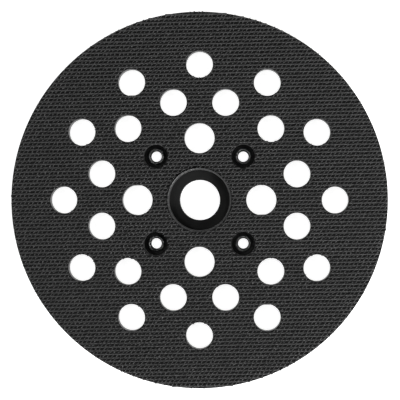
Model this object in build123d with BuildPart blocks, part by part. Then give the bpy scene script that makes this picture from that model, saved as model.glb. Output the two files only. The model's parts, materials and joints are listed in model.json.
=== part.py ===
"""Backing pad of a random orbital sander: hook sheet, foam cushion, moulded plate and screw eyelets.

The pad lies on its back: +Z points out of the hook face, and the origin is the centre of the seat
on the drive side. Millimetres throughout.
"""

import os

from build123d import *

# Overall sizes
pad_diameter = 125.0
hook_base_thickness = 0.5
hook_height = 1.4
foam_thickness = 7.7
web_thickness = 3.0
hub_depth = 4.4
plate_inset = 5.0

# Air holes: three rings that go right through
outer_ring_radius = 45.1
outer_ring_count = 12
middle_ring_radius = 33.6
middle_ring_count = 12
air_hole_diameter = 9.0
inner_ring_radius = 20.6
inner_ring_count = 4
inner_hole_diameter = 10.1
plate_hole_relief = 0.6

# Screw fixing
screw_circle_radius = 20.6
screw_count = 4
screw_hole_diameter = 3.5
screw_well_diameter = 8.0
eyelet_wall = 0.45
eyelet_lip_width = 1.1
eyelet_lip_height = 0.8
eyelet_fit = 0.05
screw_boss_wall = 2.5
spigot_socket_diameter = 7.0

# Centre: bore and seat in the plate, and the wider opening over them with its moulded rim
centre_bore_diameter = 13.5
hub_tube_wall = 4.7
bore_chamfer = 0.4
seat_chamfer = 0.5
centre_opening_diameter = 20.2
rim_width = 0.5
rim_drop = 0.6
rim_clearance = 0.05

# Foam and plate edges
foam_back_overhang = 1.5
foam_side_land = 3.0
foam_side_round = 1.5
plate_edge_round = 0.8

# Stiffening on the drive side
rib_width = 1.6
rib_height = 2.4
rib_end_gap = 0.6
ring_rib_width = 1.4
brake_track_width = 4.0
brake_track_inset = 1.5
brake_track_height = 2.0
spoke_width = 3.0
spoke_relief = 0.8

# Levels above the drive-side seat
web_back = hub_depth
plate_top = web_back + web_thickness
foam_top = plate_top + foam_thickness
hook_base_top = foam_top + hook_base_thickness
face = hook_base_top + hook_height
rim_top = face - rim_drop

# Radii that follow from the sizes above
pad_radius = pad_diameter / 2
plate_radius = pad_radius - plate_inset
bore_radius = centre_bore_diameter / 2
opening_radius = centre_opening_diameter / 2
rim_radius = opening_radius + rim_width
hub_tube_radius = bore_radius + hub_tube_wall
screw_hole_radius = screw_hole_diameter / 2
screw_well_radius = screw_well_diameter / 2
eyelet_barrel_radius = screw_hole_radius + eyelet_wall
eyelet_lip_radius = screw_hole_radius + eyelet_lip_width
socket_radius = spigot_socket_diameter / 2
screw_boss_radius = socket_radius + screw_boss_wall
plate_hole_radius = air_hole_diameter / 2 + plate_hole_relief
plate_inner_hole_radius = inner_hole_diameter / 2 + plate_hole_relief

# Angular places of the rings, in degrees
middle_step = 360 / middle_ring_count
screw_start = 180 / screw_count
middle_start = middle_step / 2


def cut_air_holes(level, height, small_radius, large_radius):
    """Cut the three rings of air holes through the part being built, upwards from level."""
    rings = (
        (outer_ring_radius, 0, outer_ring_count, small_radius),
        (middle_ring_radius, middle_start, middle_ring_count, small_radius),
        (inner_ring_radius, 0, inner_ring_count, large_radius),
    )
    with BuildSketch(Plane.XY.offset(level)) as holes:
        for ring_radius, start, count, hole_radius in rings:
            with PolarLocations(ring_radius, count, start_angle=start):
                Circle(hole_radius)
    extrude(holes.sketch, amount=height, mode=Mode.SUBTRACT)


def cut_screw_circle(level, height, hole_radius):
    """Cut one round hole at each screw position, upwards from level."""
    with BuildSketch(Plane.XY.offset(level)) as holes:
        with PolarLocations(screw_circle_radius, screw_count, start_angle=screw_start):
            Circle(hole_radius)
    extrude(holes.sketch, amount=height, mode=Mode.SUBTRACT)


# Hook sheet: woven base and hooks together as one disc, cut out round every hole
with BuildPart() as hook_facing:
    with BuildSketch(Plane.XY.offset(foam_top)):
        Circle(pad_radius)
        Circle(rim_radius + rim_clearance, mode=Mode.SUBTRACT)
    extrude(amount=face - foam_top)
    cut_air_holes(foam_top, face - foam_top, air_hole_diameter / 2, inner_hole_diameter / 2)
    cut_screw_circle(foam_top, face - foam_top, screw_well_radius)

# Foam cushion: straight side under the face, a taper in to the plate, and a round-topped rim that
# lines the centre opening of the hook sheet
with BuildPart() as foam_cushion:
    with BuildSketch(Plane.XZ):
        with BuildLine():
            rim_shoulder = rim_top - rim_width / 2
            Polyline(
                (opening_radius, rim_shoulder),
                (opening_radius, plate_top),
                (plate_radius + foam_back_overhang, plate_top),
                (pad_radius, foam_top - foam_side_land),
                (pad_radius, foam_top),
                (rim_radius, foam_top),
                (rim_radius, rim_shoulder),
            )
            ThreePointArc(
                (rim_radius, rim_shoulder),
                (opening_radius + rim_width / 2, rim_top),
                (opening_radius, rim_shoulder),
            )
        make_face()
    revolve(axis=Axis.Z)
    side_edge = foam_cushion.edges().filter_by_position(
        Axis.Z, foam_top - foam_side_land, foam_top - foam_side_land
    )
    fillet(side_edge, radius=foam_side_round)
    cut_air_holes(plate_top, foam_thickness, air_hole_diameter / 2, inner_hole_diameter / 2)
    cut_screw_circle(plate_top, foam_thickness, screw_well_radius)

# Backing plate: web with a rounded edge
with BuildPart() as backing_plate:
    with BuildSketch(Plane.XY.offset(web_back)):
        Circle(plate_radius)
    extrude(amount=web_thickness)
    fillet(backing_plate.edges().group_by(Axis.Z)[0], radius=plate_edge_round)

    # Hub tube round the bore, chamfered at both ends of the bore and round the seat
    with BuildSketch(Plane.XZ):
        with BuildLine():
            Polyline(
                (bore_radius, bore_chamfer),
                (bore_radius + bore_chamfer, 0),
                (hub_tube_radius - seat_chamfer, 0),
                (hub_tube_radius, seat_chamfer),
                (hub_tube_radius, plate_top),
                (bore_radius + bore_chamfer, plate_top),
                (bore_radius, plate_top - bore_chamfer),
                close=True,
            )
        make_face()
    revolve(axis=Axis.Z)

    # Screw bosses, each tied to the hub tube by a spoke
    with BuildSketch(Plane.XY):
        with PolarLocations(screw_circle_radius, screw_count, start_angle=screw_start):
            Circle(screw_boss_radius)
    extrude(amount=hub_depth)
    with BuildSketch(Plane.XY.offset(spoke_relief)):
        with PolarLocations(screw_circle_radius / 2, screw_count, start_angle=screw_start):
            Rectangle(screw_circle_radius, spoke_width)
    extrude(amount=hub_depth - spoke_relief)

    # Ring rib round the bosses, and the brake track near the edge
    ring_rib_radius = inner_ring_radius + plate_inner_hole_radius + rib_end_gap
    with BuildSketch(Plane.XY.offset(web_back - rib_height)):
        Circle(ring_rib_radius + ring_rib_width)
        Circle(ring_rib_radius, mode=Mode.SUBTRACT)
    extrude(amount=rib_height)
    track_radius = plate_radius - brake_track_inset
    with BuildSketch(Plane.XY.offset(web_back - brake_track_height)):
        Circle(track_radius)
        Circle(track_radius - brake_track_width, mode=Mode.SUBTRACT)
    extrude(amount=brake_track_height)

    # Radial ribs: inner ones between the middle holes, outer ones between the outer holes
    inner_rib_end = outer_ring_radius - plate_hole_radius - rib_end_gap
    outer_rib_start = middle_ring_radius + plate_hole_radius + rib_end_gap
    rib_spans = (
        (ring_rib_radius, inner_rib_end, 0, outer_ring_count),
        (outer_rib_start, track_radius - brake_track_width / 2, middle_start, middle_ring_count),
    )
    with BuildSketch(Plane.XY.offset(web_back - rib_height)):
        for start, end, first_angle, count in rib_spans:
            with PolarLocations((start + end) / 2, count, start_angle=first_angle):
                Rectangle(end - start, rib_width)
    extrude(amount=rib_height)

    # Everything that goes through the plate
    with BuildSketch(Plane.XY):
        Circle(bore_radius)
    extrude(amount=face, mode=Mode.SUBTRACT)
    cut_air_holes(0, plate_top, plate_hole_radius, plate_inner_hole_radius)
    cut_screw_circle(0, plate_top, eyelet_barrel_radius + eyelet_fit)
    cut_screw_circle(0, hub_depth, socket_radius)

# Eyelets: a barrel through the web under a round lip that sits on the plate
with BuildPart() as eyelet:
    with BuildSketch(Plane.XZ):
        with BuildLine():
            Line((screw_hole_radius, web_back), (eyelet_barrel_radius, web_back))
            Line((eyelet_barrel_radius, web_back), (eyelet_barrel_radius, plate_top))
            Line((eyelet_barrel_radius, plate_top), (eyelet_lip_radius, plate_top))
            lip_side = Line(
                (eyelet_lip_radius, plate_top),
                (eyelet_lip_radius, plate_top + eyelet_lip_height - eyelet_lip_width / 2),
            )
            lip_end = (screw_hole_radius, plate_top + eyelet_lip_height - eyelet_lip_width / 2)
            ThreePointArc(
                lip_side @ 1,
                (screw_hole_radius + eyelet_lip_width / 2, plate_top + eyelet_lip_height),
                lip_end,
            )
            Line(lip_end, (screw_hole_radius, web_back))
        make_face()
    revolve(axis=Axis.Z)

with BuildPart() as screw_eyelets:
    with PolarLocations(screw_circle_radius, screw_count, start_angle=screw_start):
        add(eyelet.part)

pieces = {
    "hook_facing": hook_facing,
    "foam_cushion": foam_cushion,
    "backing_plate": backing_plate,
    "screw_eyelets": screw_eyelets,
}
os.makedirs("parts", exist_ok=True)
for name, piece in pieces.items():
    piece.part.label = name
    export_step(piece.part, f"parts/{name}.step")
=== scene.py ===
import json
import math

import bmesh
import bpy
import numpy as np
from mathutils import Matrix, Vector


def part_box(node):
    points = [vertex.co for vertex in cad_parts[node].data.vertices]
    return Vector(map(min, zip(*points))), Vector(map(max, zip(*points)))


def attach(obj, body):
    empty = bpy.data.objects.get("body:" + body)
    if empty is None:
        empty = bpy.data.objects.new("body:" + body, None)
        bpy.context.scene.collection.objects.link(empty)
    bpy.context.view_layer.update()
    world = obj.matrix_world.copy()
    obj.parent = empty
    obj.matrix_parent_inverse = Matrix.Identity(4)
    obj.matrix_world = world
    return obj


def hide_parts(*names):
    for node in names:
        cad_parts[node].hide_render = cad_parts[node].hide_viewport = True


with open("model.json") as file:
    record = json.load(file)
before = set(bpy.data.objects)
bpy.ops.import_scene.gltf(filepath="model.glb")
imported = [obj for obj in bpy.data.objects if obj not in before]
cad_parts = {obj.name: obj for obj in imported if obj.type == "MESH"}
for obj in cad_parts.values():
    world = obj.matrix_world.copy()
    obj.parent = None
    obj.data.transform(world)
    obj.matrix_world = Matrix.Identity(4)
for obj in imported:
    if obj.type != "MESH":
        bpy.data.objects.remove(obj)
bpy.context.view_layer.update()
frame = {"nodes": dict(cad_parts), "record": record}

MM = 0.001

# Hook sheet, real sizes of the woven tape
ROW_PITCH = 1.22 * MM
HOOK_PITCH = 1.41 * MM
WEAVE_TURN = math.radians(1.0)
GROUND_THICKNESS = 0.5 * MM
GROUND_EDGE = 0.06 * MM

# Ribs of the woven ground; the twist is how far the stitches of one side run ahead, in radians
RIB_WIDTH = 0.64 * MM
RIB_HEIGHT = 0.30 * MM
RIB_WAVE = 0.10 * MM
RIB_TWIST = 1.6
RIB_SUNK = 0.02 * MM
RIB_STEP = 0.235 * MM
RIB_SECTION_POINTS = 6
RIB_LEAST_STEPS = 3
RIB_EDGE_GAP = 0.02 * MM
RIB_PIECES = 2

# Hooks: the wire's radius, its path in mm as (sideways, up), the height of that path with the
# wire's thickness, and the radius at each point as a share of the wire's
HOOK_WIRE = 0.11 * MM
HOOK_SIDES = 6
HOOK_PATH = [
    (-0.40, -0.06), (-0.43, 0.30), (-0.41, 0.66), (-0.30, 0.95),
    (-0.06, 1.10), (0.20, 1.06), (0.37, 0.88), (0.43, 0.66),
]
HOOK_PATH_TOP = 1.18
HOOK_TAPER = [1.15, 1.05, 1.0, 1.0, 1.0, 1.0, 0.95, 0.75]
HOOK_EDGE_GAP = 0.2 * MM
HOOK_SLANT = math.radians(52)
HOOK_PIECES = 4

# How much the hooks differ: place, direction, sideways lean, and height as a share of the full one
HOOK_STRAY = 0.05 * MM
HOOK_STRAY_TURN = math.radians(7)
HOOK_STRAY_LEAN = 0.09
HOOK_USUAL_HEIGHT = 0.97
HOOK_STRAY_HEIGHT = 0.025

# Foam; the rounding and waist of the holes, and the band of the side that is rubbed matt
FOAM_EDGE_ROUND = 0.35 * MM
FOAM_SIDE_BULGE = 0.25 * MM
HOLE_EDGE_ROUND = 0.12 * MM
HOLE_EDGE_SHARP = 0.02 * MM
HOLE_WAIST = 0.072 * MM
FOAM_MATT_BAND = 11 * MM
FOAM_MATT_FADE = 3 * MM

# Eyelets: over this height above the plate, the dull barrel with its painted bore shade turns to a
# rubbed lip
BORE_SHADE_FADE = 0.3 * MM

# Meshing
OUTER_SEGMENTS = 384
CENTRE_SEGMENTS = 144
HOLE_SEGMENTS = 72
SHARP_ANGLE = math.radians(40)

# Camera
FRAME_WIDTH = 132.4 * MM
CAMERA_HEIGHT = 0.72
CAMERA_ASIDE = 15 * MM
AIM_ASIDE = 0.25 * MM
SENSOR = 36.0

# Studio, in metres and watts: each light has a name, a place, a side length and a power
FLOOR_HALF_WIDTH = 3.0
FLOOR_GLOW = 0.95
LIGHTS = [
    ("key", (0.42, -0.55, 0.62), 0.35, 13),
    ("overhead_right", (0.18, 0.12, 1.0), 0.08, 0.7),
    ("overhead_left", (-0.20, -0.03, 1.0), 0.08, 0.7),
    ("fill", (-0.7, 0.1, 0.6), 0.5, 1.2),
]


# ---------------------------------------------------------------- reading the frame

def node_points(node):
    """All vertices of a CAD node, as an array in metres."""
    return np.array([v.co for v in frame["nodes"][node].data.vertices], float).reshape(-1, 3)


def cutouts():
    """Every cut-out of the hook sheet as (x, y, radius): the centre one, then the record's."""
    points = node_points("hook_facing")[:, :2]
    centres = [(0.0, 0.0)]
    for opening in frame["record"]["physics"]["openings"]:
        low, high = opening["box_m"]
        centres.append(((low[0] + high[0]) / 2, (low[1] + high[1]) / 2))
    return [
        (x, y, float(np.hypot(points[:, 0] - x, points[:, 1] - y).min()))
        for x, y in centres
    ]


holes = cutouts()
sheet_low, sheet_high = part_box("hook_facing")
foam_low, foam_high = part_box("foam_cushion")
pad_radius = sheet_high.x
ground_top = sheet_low.z + GROUND_THICKNESS
hook_height = sheet_high.z - ground_top


# ---------------------------------------------------------------- materials

def new_material(name, roughness, base, specular=0.5, metallic=0.0):
    """A Principled material with its nodes, its shader node and a short way to add links."""
    material = bpy.data.materials.new(name)
    material.use_nodes = True
    nodes = material.node_tree.nodes
    shader = nodes["Principled BSDF"]
    shader.inputs["Base Color"].default_value = (base, base, base, 1)
    shader.inputs["Roughness"].default_value = roughness
    shader.inputs["Specular IOR Level"].default_value = specular
    shader.inputs["Metallic"].default_value = metallic
    return material, nodes, material.node_tree.links, shader


def position(nodes, links, scale=(1, 1, 1)):
    """Object coordinates in metres, scaled."""
    place = nodes.new("ShaderNodeTexCoord")
    mapping = nodes.new("ShaderNodeMapping")
    mapping.inputs["Scale"].default_value = scale
    links.new(place.outputs["Object"], mapping.inputs["Vector"])
    return mapping.outputs["Vector"]


def noise(nodes, links, vector, size, detail=3.0, roughness=0.6):
    """Noise whose blobs are about size metres across; gives its 0..1 value."""
    texture = nodes.new("ShaderNodeTexNoise")
    texture.inputs["Scale"].default_value = 1 / size
    texture.inputs["Detail"].default_value = detail
    texture.inputs["Roughness"].default_value = roughness
    links.new(vector, texture.inputs["Vector"])
    return texture.outputs["Fac"]


def ramp(nodes, links, value, low, high, from_low=0.0, from_high=1.0):
    """Maps value from one range to another."""
    node = nodes.new("ShaderNodeMapRange")
    node.inputs["From Min"].default_value = from_low
    node.inputs["From Max"].default_value = from_high
    node.inputs["To Min"].default_value = low
    node.inputs["To Max"].default_value = high
    links.new(value, node.inputs["Value"])
    return node.outputs["Result"]


def grey(nodes, links, value):
    """A grey colour of that value."""
    node = nodes.new("ShaderNodeCombineColor")
    for channel in ("Red", "Green", "Blue"):
        links.new(value, node.inputs[channel])
    return node.outputs["Color"]


def bump(nodes, links, shader, height, distance, strength=1.0):
    """Adds a bump of that depth to the shader."""
    node = nodes.new("ShaderNodeBump")
    node.inputs["Distance"].default_value = distance
    node.inputs["Strength"].default_value = strength
    links.new(height, node.inputs["Height"])
    links.new(node.outputs["Normal"], shader.inputs["Normal"])


def nylon_material(name, dark, light, roughness, mottle_size):
    """Black nylon: each strand lighter or darker at random, the ribs with painted shade along their
    swelling; mottled by wear, with a fine fibre bump.
    """
    material, nodes, links, shader = new_material(name, roughness, light)
    vector = position(nodes, links)
    strand_share = 0.45
    blotches = noise(nodes, links, vector, mottle_size, detail=1.0)
    mottle = ramp(nodes, links, blotches, 0.0, 1.0, from_low=0.32, from_high=0.68)
    # the vertex attribute: a random tone on the hooks, painted shade along the swelling on the ribs
    shade = nodes.new("ShaderNodeAttribute")
    shade.attribute_name = "shade"
    blend = nodes.new("ShaderNodeMath")
    blend.operation = "MULTIPLY_ADD"
    blend.inputs[1].default_value = strand_share
    links.new(shade.outputs["Fac"], blend.inputs[0])
    rest = nodes.new("ShaderNodeMath")
    rest.operation = "MULTIPLY"
    rest.inputs[1].default_value = 1 - strand_share
    links.new(mottle, rest.inputs[0])
    links.new(rest.outputs[0], blend.inputs[2])
    value = ramp(nodes, links, blend.outputs[0], dark, light)
    links.new(grey(nodes, links, value), shader.inputs["Base Color"])
    bump(nodes, links, shader, noise(nodes, links, vector, 0.12 * MM), 0.01 * MM)
    return material


def ground_material():
    """Woven ground between the ribs: dark and matt, with a fine uneven relief."""
    material, nodes, links, shader = new_material("woven_ground", 0.9, 0.01, specular=0.1)
    vector = position(nodes, links)
    value = ramp(nodes, links, noise(nodes, links, vector, 0.5 * MM), 0.004, 0.015)
    links.new(grey(nodes, links, value), shader.inputs["Base Color"])
    bump(nodes, links, shader, noise(nodes, links, vector, 0.2 * MM), 0.08 * MM)
    return material


def foam_material():
    """Moulded polyurethane foam with cells of about a third of a millimetre, the pit of each cell
    painted darker as shade under a broad random mottle: a satin skin in the holes and round the
    rim, rubbed matt on the pad's side."""
    material, nodes, links, shader = new_material("black_foam", 0.42, 0.02, specular=0.5)
    vector = position(nodes, links)
    cells = nodes.new("ShaderNodeTexVoronoi")
    cells.inputs["Scale"].default_value = 1 / (0.38 * MM)
    links.new(vector, cells.inputs["Vector"])
    pit_depth_and_shade = ramp(nodes, links, cells.outputs["Distance"], 0.0, 1.0, from_low=0.1, from_high=0.6)
    # painted shade: darker towards the bottom of each cell's pit, times a broad random mottle
    pit_shade_mottle = nodes.new("ShaderNodeMath")
    pit_shade_mottle.operation = "MULTIPLY"
    links.new(pit_depth_and_shade, pit_shade_mottle.inputs[0])
    links.new(noise(nodes, links, vector, 1.5 * MM), pit_shade_mottle.inputs[1])
    value = ramp(nodes, links, pit_shade_mottle.outputs[0], 0.012, 0.04, from_low=0.05, from_high=0.5)
    links.new(grey(nodes, links, value), shader.inputs["Base Color"])
    radius = nodes.new("ShaderNodeVectorMath")
    radius.operation = "LENGTH"
    links.new(position(nodes, links, scale=(1, 1, 0)), radius.inputs[0])
    side = pad_radius - FOAM_MATT_BAND
    rubbed = ramp(
        nodes, links, radius.outputs["Value"], 0.42, 0.85,
        from_low=side, from_high=side + FOAM_MATT_FADE,
    )
    links.new(rubbed, shader.inputs["Roughness"])
    bump(nodes, links, shader, pit_depth_and_shade, 0.12 * MM, 0.6)
    return material


def plastic_material():
    """Glass-filled nylon: black, satin, with a fine moulded grain and rubbed patches."""
    material, nodes, links, shader = new_material("moulded_plastic", 0.55, 0.006, specular=0.18)
    vector = position(nodes, links)
    patches = noise(nodes, links, vector, 6 * MM)
    rubbed = ramp(nodes, links, patches, 0.42, 0.58, from_low=0.3, from_high=0.7)
    links.new(rubbed, shader.inputs["Roughness"])
    clouds = noise(nodes, links, vector, 3 * MM)
    value = ramp(nodes, links, clouds, 0.002, 0.005, from_low=0.3, from_high=0.7)
    links.new(grey(nodes, links, value), shader.inputs["Base Color"])
    bump(nodes, links, shader, noise(nodes, links, vector, 0.25 * MM, detail=2.0), 0.012 * MM)
    return material


def eyelet_material():
    """Dark oxidised steel: a rubbed lip above the plate; below it a dull barrel whose colour is
    painted black as the shade inside the bore.
    """
    material, nodes, links, shader = new_material("dark_steel", 0.38, 0.15, metallic=1.0)
    vector = position(nodes, links)
    blotches = noise(nodes, links, vector, 4 * MM)
    wear = ramp(nodes, links, blotches, 0.08, 0.22, from_low=0.35, from_high=0.65)
    split = nodes.new("ShaderNodeSeparateXYZ")
    links.new(vector, split.inputs["Vector"])
    plate_level = foam_low.z
    above = ramp(
        nodes, links, split.outputs["Z"], 0.0, 1.0,
        from_low=plate_level, from_high=plate_level + BORE_SHADE_FADE,
    )
    # painted shade: below the plate the base colour goes to black for the shade deep in the bore;
    # above it, the random wear tone of the lip
    tone_with_bore_shade = nodes.new("ShaderNodeMath")
    tone_with_bore_shade.operation = "MULTIPLY"
    links.new(above, tone_with_bore_shade.inputs[0])
    links.new(wear, tone_with_bore_shade.inputs[1])
    links.new(grey(nodes, links, tone_with_bore_shade.outputs[0]), shader.inputs["Base Color"])
    smoother = ramp(nodes, links, above, 1.0, 0.38, from_low=0.38, from_high=1.0)
    links.new(smoother, shader.inputs["Roughness"])
    bump(nodes, links, shader, noise(nodes, links, vector, 0.3 * MM, detail=2.0), 0.003 * MM)
    return material


# ---------------------------------------------------------------- mesh helpers

def add_object(name, mesh, material):
    """Links a mesh to the scene under that name, with one material."""
    piece = bpy.data.objects.new(name, mesh)
    mesh.name = name
    mesh.materials.append(material)
    bpy.context.scene.collection.objects.link(piece)
    return piece


def planar_uv(mesh):
    """A UV map seen from above, over the pad's square."""
    layer = mesh.uv_layers.new(name="OFBake")
    count = len(mesh.loops)
    index = np.empty(count, np.int32)
    mesh.loops.foreach_get("vertex_index", index)
    points = np.empty(len(mesh.vertices) * 3, np.float32)
    mesh.vertices.foreach_get("co", points)
    points = points.reshape(-1, 3)[index, :2]
    layer.data.foreach_set("uv", (points / (2.04 * pad_radius) + 0.5).astype(np.float32).ravel())


def mesh_from_polygons(name, points, groups):
    """A mesh from points and from arrays of polygons, one array for each number of corners."""
    mesh = bpy.data.meshes.new(name)
    sizes = np.concatenate([np.full(len(g), g.shape[1], np.int32) for g in groups])
    corners = np.concatenate([g.ravel() for g in groups]).astype(np.int32)
    mesh.vertices.add(len(points))
    mesh.vertices.foreach_set("co", points.astype(np.float32).ravel())
    mesh.loops.add(len(corners))
    mesh.loops.foreach_set("vertex_index", corners)
    mesh.polygons.add(len(sizes))
    starts = np.concatenate([[0], np.cumsum(sizes)[:-1]]).astype(np.int32)
    mesh.polygons.foreach_set("loop_start", starts)
    mesh.update(calc_edges=True)
    mesh.validate()
    mesh.polygons.foreach_set("use_smooth", np.ones(len(mesh.polygons), bool))
    return mesh


def ring_points(x, y, radius, level, count):
    """A level circle of points."""
    turns = np.arange(count) * 2 * math.pi / count
    return np.column_stack([
        x + radius * np.cos(turns), y + radius * np.sin(turns), np.full(count, level)
    ])


def perforated_slab(name, outer_profile, centre_profile, hole_profile):
    """A closed round slab with all the cut-outs. Profiles are (radius, level) pairs from bottom to
    top, and hole_profile's radii are counted from each air hole's or well's own radius."""
    shape = bmesh.new()
    ends = {0: [], -1: []}
    walls = [
        (0.0, 0.0, 0.0, outer_profile, OUTER_SEGMENTS),
        (0.0, 0.0, 0.0, centre_profile, CENTRE_SEGMENTS),
    ]
    walls += [(x, y, r, hole_profile, HOLE_SEGMENTS) for x, y, r in holes[1:]]
    for x, y, base_radius, profile, count in walls:
        rings = []
        for extra, level in profile:
            points = ring_points(x, y, base_radius + extra, level, count)
            rings.append([shape.verts.new(p) for p in points])
        for lower, upper in zip(rings, rings[1:]):
            for i in range(count):
                j = (i + 1) % count
                shape.faces.new((lower[i], lower[j], upper[j], upper[i]))
        for end in ends:
            ring = rings[end]
            for i in range(count):
                ends[end].append(shape.edges.get((ring[i], ring[(i + 1) % count])))
    for edges in ends.values():
        bmesh.ops.triangle_fill(shape, edges=edges, use_beauty=True)
    bmesh.ops.recalc_face_normals(shape, faces=shape.faces)
    mesh = bpy.data.meshes.new(name)
    shape.to_mesh(mesh)
    shape.free()
    mesh.polygons.foreach_set("use_smooth", np.ones(len(mesh.polygons), bool))
    mesh.set_sharp_from_angle(angle=SHARP_ANGLE)
    return mesh


# ---------------------------------------------------------------- hook sheet

def weave_axes():
    """Unit vectors along the rows and across them."""
    along = np.array([math.cos(WEAVE_TURN), math.sin(WEAVE_TURN)])
    return along, np.array([-along[1], along[0]])


def distance_inside(points):
    """How far each point lies inside the sheet's cut outline; negative outside it."""
    inside = pad_radius - np.hypot(points[..., 0], points[..., 1])
    for x, y, r in holes:
        inside = np.minimum(inside, np.hypot(points[..., 0] - x, points[..., 1] - y) - r)
    return inside


def make_ground():
    """The woven ground, a thin slab with crisp punched edges."""
    edge = GROUND_EDGE
    outer = [
        (pad_radius - edge, sheet_low.z),
        (pad_radius, sheet_low.z + edge),
        (pad_radius, ground_top - edge),
        (pad_radius - edge, ground_top),
    ]
    inner = [
        (edge, sheet_low.z),
        (0, sheet_low.z + edge),
        (0, ground_top - edge),
        (edge, ground_top),
    ]
    centre = [(holes[0][2] + extra, level) for extra, level in inner]
    mesh = perforated_slab("hook_sheet_ground", outer, centre, inner)
    planar_uv(mesh)
    piece = add_object("hook_sheet_ground", mesh, ground_material())
    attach(piece, "root")
    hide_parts("hook_facing")


def add_strands(name, points, polygons, tones_and_swell_shades, material):
    """One piece of ribs or hooks, with the tone of each vertex: random on hooks, painted shade on
    ribs.
    """
    mesh = mesh_from_polygons(name, points, polygons)
    shade = mesh.attributes.new("shade", "FLOAT", "POINT")
    shade.data.foreach_set("value", tones_and_swell_shades.astype(np.float32))
    planar_uv(mesh)
    piece = add_object(name, mesh, material)
    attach(piece, "root")


def rib_runs(row, along, across):
    """A rib's centre line in runs that miss the cut-outs, each as (steps along the row, points)."""
    offset = (row + 0.5) * ROW_PITCH
    if abs(offset) >= pad_radius:
        return
    reach = math.sqrt(pad_radius ** 2 - offset ** 2)
    steps = np.arange(-reach, reach, RIB_STEP)
    centre = steps[:, None] * along + offset * across
    is_open = distance_inside(centre) > RIB_EDGE_GAP
    changes = np.flatnonzero(np.diff(is_open.astype(int))) + 1
    for run in np.split(np.arange(len(steps)), changes):
        if len(run) >= RIB_LEAST_STEPS and is_open[run[0]]:
            yield steps[run], centre[run]


def make_ribs(material):
    """The ground's raised ribs, one between each two rows of hooks, swelling at every stitch, with
    painted shade: lighter on each swell and darker in the dips.
    """
    along, across = weave_axes()
    rows = int(pad_radius / ROW_PITCH) + 1
    section = np.linspace(0, math.pi, RIB_SECTION_POINTS)
    side = np.cos(section)[None, :] * (RIB_WIDTH / 2)
    chunks = np.array_split(np.arange(-rows, rows + 1), RIB_PIECES)
    for number, chosen in enumerate(chunks, start=1):
        points, quads, tones_and_swell_shades, start = [], [], [], 0
        for row in chosen:
            for steps, centre in rib_runs(row, along, across):
                phase = steps / HOOK_PITCH * 2 * math.pi + row * math.pi
                swell = np.sin(phase[:, None] + np.cos(section)[None, :] * RIB_TWIST)
                height = np.sin(section)[None, :] * (RIB_HEIGHT + RIB_WAVE * swell)
                flat = centre[:, None, :] + side[..., None] * across
                level = (ground_top - RIB_SUNK + height)[..., None]
                points.append(np.concatenate([flat, level], axis=2).reshape(-1, 3))
                index = start + np.arange(height.size).reshape(height.shape)
                corners = [index[:-1, :-1], index[1:, :-1], index[1:, 1:], index[:-1, 1:]]
                quads.append(np.stack(corners, axis=-1).reshape(-1, 4))
                # painted shade: the colour follows the swelling, lighter where the rib rises and
                # darker in its dips
                tones_and_swell_shades.append((0.5 + 0.5 * swell).ravel())
                start += height.size
        add_strands(
            f"hook_sheet_ribs_{number}", np.concatenate(points), [np.concatenate(quads)],
            np.concatenate(tones_and_swell_shades), material,
        )


def hook_template():
    """One hook in its own plane, as points, quads and end caps: a shank, a crook and a cut tip."""
    path = np.array(HOOK_PATH) * np.array([1.0, hook_height / MM / HOOK_PATH_TOP]) * MM
    slope = np.gradient(path, axis=0)
    slope /= np.linalg.norm(slope, axis=1)[:, None]
    turns = np.arange(HOOK_SIDES) * 2 * math.pi / HOOK_SIDES
    rings = []
    for (u, w), (du, dw), taper in zip(path, slope, HOOK_TAPER):
        radius = HOOK_WIRE * taper
        flat = radius * np.cos(turns)
        rings.append(np.column_stack([u - dw * flat, radius * np.sin(turns), w + du * flat]))
    index = np.arange(len(path) * HOOK_SIDES).reshape(len(path), HOOK_SIDES)
    following = np.roll(index, -1, axis=1)
    corners = [index[:-1], following[:-1], following[1:], index[1:]]
    quads = np.stack(corners, axis=-1).reshape(-1, 4)
    caps = np.array([index[-1], index[0][::-1]])
    return np.concatenate(rings), quads, caps


def hook_places(random):
    """Where each hook stands: centre, direction and row number."""
    along, across = weave_axes()
    rows = int(pad_radius / ROW_PITCH) + 1
    columns = int(pad_radius / HOOK_PITCH) + 2
    row, column = np.meshgrid(
        np.arange(-rows, rows + 1), np.arange(-columns, columns + 1), indexing="ij"
    )
    row, column = row.ravel(), column.ravel()
    odd = row % 2
    shift = column + 0.5 * odd
    centre = shift[:, None] * HOOK_PITCH * along + row[:, None] * ROW_PITCH * across
    centre += random.normal(0, HOOK_STRAY, centre.shape)
    turn = WEAVE_TURN + HOOK_SLANT + random.normal(0, HOOK_STRAY_TURN, len(row)) + odd * math.pi
    keep = distance_inside(centre) > HOOK_EDGE_GAP
    return centre[keep], turn[keep], row[keep]


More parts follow.
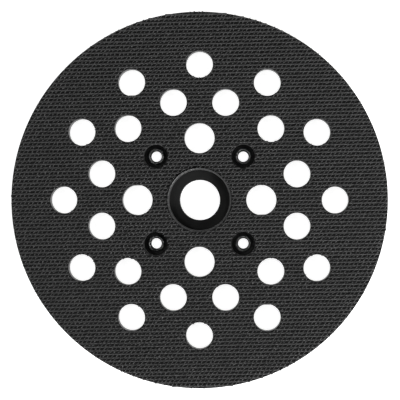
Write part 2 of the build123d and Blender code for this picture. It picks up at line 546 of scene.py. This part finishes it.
def make_hooks(material):
    """All the hooks, in strips of rows so that no mesh grows too large."""
    random = np.random.default_rng(7)
    template, quads, caps = hook_template()
    centre, turn, row = hook_places(random)
    count = len(centre)
    lean = random.normal(0, HOOK_STRAY_LEAN, count)
    tall = np.minimum(random.normal(HOOK_USUAL_HEIGHT, HOOK_STRAY_HEIGHT, count), 1.0)
    shade = random.random(count)
    strips = np.array_split(np.argsort(row, kind="stable"), HOOK_PIECES)
    for number, chosen in enumerate(strips, start=1):
        c, s = np.cos(turn[chosen])[:, None], np.sin(turn[chosen])[:, None]
        u = template[None, :, 0]
        w = template[None, :, 2] * tall[chosen][:, None]
        v = template[None, :, 1] + w * lean[chosen][:, None]
        x = centre[chosen, 0][:, None] + u * c - v * s
        y = centre[chosen, 1][:, None] + u * s + v * c
        points = np.stack([x, y, ground_top + w], axis=-1).reshape(-1, 3)
        base = (np.arange(len(chosen)) * len(template))[:, None, None]
        polygons = [
            (quads[None] + base).reshape(-1, quads.shape[1]),
            (caps[None] + base).reshape(-1, caps.shape[1]),
        ]
        tones_and_swell_shades = np.repeat(shade[chosen], len(template))
        add_strands(f"hooks_{number}", points, polygons, tones_and_swell_shades, material)


# ---------------------------------------------------------------- foam

def foam_centre_profile(points, radii):
    """Wall of the centre opening, then over the rim's rounded inner side and down outside it."""
    opening = radii.min()
    rim = radii[points[:, 2] > sheet_low.z + 0.2 * MM].max()
    width = rim - opening
    shoulder = foam_high.z - width
    profile = [(opening + FOAM_EDGE_ROUND, foam_low.z), (opening, foam_low.z + FOAM_EDGE_ROUND)]
    profile += [(opening, foam_low.z + (shoulder - foam_low.z) * t) for t in (0.35, 0.7)]
    for turn in np.linspace(0, math.pi / 2, 8):
        profile.append((rim - width * math.cos(turn), shoulder + width * math.sin(turn)))
    profile.append((rim, sheet_low.z))
    return profile


def foam_outer_profile(points, radii):
    """The side: up from the plate in a slightly swollen taper to a straight, rounded edge."""
    top = sheet_low.z
    back_radius = radii[points[:, 2] < foam_low.z + 0.01 * MM].max()
    land_low = points[radii > pad_radius - 0.02 * MM, 2].min()
    e = FOAM_EDGE_ROUND
    profile = [(back_radius - e, foam_low.z), (back_radius - 0.3 * e, foam_low.z + 0.3 * e)]
    for t in np.linspace(0.12, 1.0, 8):
        swell = FOAM_SIDE_BULGE * math.sin(math.pi * t)
        profile.append((
            back_radius + (pad_radius - back_radius) * t + swell * (1 - t),
            foam_low.z + (land_low - foam_low.z) * t - swell * 0.5,
        ))
    profile += [
        (pad_radius, (land_low + top) / 2),
        (pad_radius - 0.03 * MM, top - 0.5 * e),
        (pad_radius - 0.25 * e, top - 0.1 * e),
        (pad_radius - e, top),
    ]
    return profile


def foam_hole_profile():
    """Wall of an air hole or well, with softened ends and a slight waist between them."""
    top = sheet_low.z
    depth = top - foam_low.z
    profile = [(HOLE_EDGE_ROUND, foam_low.z), (HOLE_EDGE_SHARP, foam_low.z + HOLE_EDGE_ROUND)]
    for t in (0.2, 0.4, 0.6, 0.8):
        profile.append((-HOLE_WAIST * math.sin(math.pi * t), foam_low.z + depth * t))
    profile += [(HOLE_EDGE_SHARP, top - HOLE_EDGE_ROUND), (HOLE_EDGE_ROUND, top)]
    return profile


def make_foam():
    """The cushion: a soft side that tapers in to the plate, waisted holes and a centre rim."""
    points = node_points("foam_cushion")
    radii = np.hypot(points[:, 0], points[:, 1])
    mesh = perforated_slab(
        "foam_cushion_body", foam_outer_profile(points, radii), foam_centre_profile(points, radii),
        foam_hole_profile(),
    )
    piece = add_object("foam_cushion_body", mesh, foam_material())
    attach(piece, "root")
    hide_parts("foam_cushion")


# ---------------------------------------------------------------- kept CAD nodes

def dress(node, material):
    """Gives a CAD node its finished material."""
    piece = frame["nodes"][node]
    piece.data.materials.clear()
    piece.data.materials.append(material)


# ---------------------------------------------------------------- studio

def make_floor():
    """A wide pale light table under the pad."""
    half = FLOOR_HALF_WIDTH
    mesh = bpy.data.meshes.new("floor")
    corners = [(-half, -half, 0), (half, -half, 0), (half, half, 0), (-half, half, 0)]
    mesh.from_pydata(corners, [], [(0, 1, 2, 3)])
    material, _, _, shader = new_material("floor_white", 0.9, 0.6, specular=0.1)
    shader.inputs["Emission Color"].default_value = (1, 1, 1, 1)
    shader.inputs["Emission Strength"].default_value = FLOOR_GLOW
    floor = add_object("floor", mesh, material)


def make_world():
    """A pale room with a darker ceiling."""
    world = bpy.data.worlds.new("studio")
    bpy.context.scene.world = world
    world.use_nodes = True
    nodes, links = world.node_tree.nodes, world.node_tree.links
    place = nodes.new("ShaderNodeTexCoord")
    split = nodes.new("ShaderNodeSeparateXYZ")
    links.new(place.outputs["Generated"], split.inputs["Vector"])
    level = ramp(nodes, links, split.outputs["Z"], 0.6, 0.06, 0.12, 0.75)
    links.new(grey(nodes, links, level), nodes["Background"].inputs["Color"])
    nodes["Background"].inputs["Strength"].default_value = 1.0


def add_light(name, place, size, power):
    """A soft square light that faces the middle of the floor."""
    data = bpy.data.lights.new(name, "AREA")
    data.shape = "SQUARE"
    data.size = size
    data.energy = power
    light = bpy.data.objects.new(name, data)
    light.location = place
    light.rotation_euler = (-Vector(place)).to_track_quat("-Z", "Y").to_euler()
    bpy.context.scene.collection.objects.link(light)


def make_camera():
    """Straight down on the hook face, a little to one side of the axis."""
    data = bpy.data.cameras.new("camera")
    data.sensor_width = SENSOR
    data.lens = SENSOR * CAMERA_HEIGHT / FRAME_WIDTH
    camera = bpy.data.objects.new("camera", data)
    camera.location = (CAMERA_ASIDE, 0, sheet_high.z + CAMERA_HEIGHT)
    camera.rotation_euler = (0, math.atan2(CAMERA_ASIDE - AIM_ASIDE, CAMERA_HEIGHT), 0)
    bpy.context.scene.collection.objects.link(camera)
    bpy.context.scene.camera = camera


# ---------------------------------------------------------------- the scene

make_ground()
make_ribs(nylon_material("rib_yarn", 0.006, 0.037, 0.5, 0.55 * MM))
make_hooks(nylon_material("black_nylon", 0.006, 0.10, 0.35, 0.5 * MM))
make_foam()
dress("backing_plate", plastic_material())
dress("screw_eyelets", eyelet_material())

make_floor()
make_world()
for light in LIGHTS:
    add_light(*light)
make_camera()
bpy.context.scene.view_settings.view_transform = "Standard"
